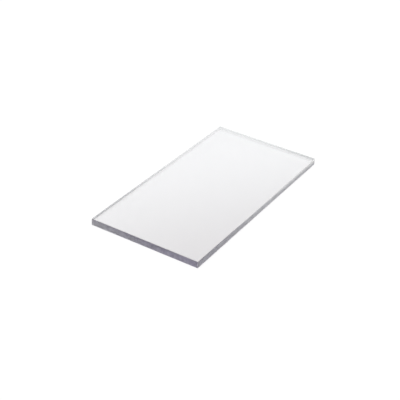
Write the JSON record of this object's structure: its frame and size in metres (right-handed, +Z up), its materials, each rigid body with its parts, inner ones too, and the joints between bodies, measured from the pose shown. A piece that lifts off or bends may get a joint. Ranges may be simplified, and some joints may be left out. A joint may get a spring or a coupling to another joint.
{
  "type": "polycarbonate sheet",
  "caption": "Clear, solid polycarbonate sheet: a flat rectangular plate, sawn square, with smooth glossy faces and satin sawn edges.",
  "frame": {"origin": "middle of the lower face, which lies on the floor", "axes": "+X along the length, +Y across the width, +Z up through the thickness"},
  "size_m": [0.2, 0.1, 0.006],
  "materials": {
    "clear_polycarbonate": "polished"
  },
  "bodies": {
    "root": {"sheet": "clear_polycarbonate"}
  },
  "joints": []
}
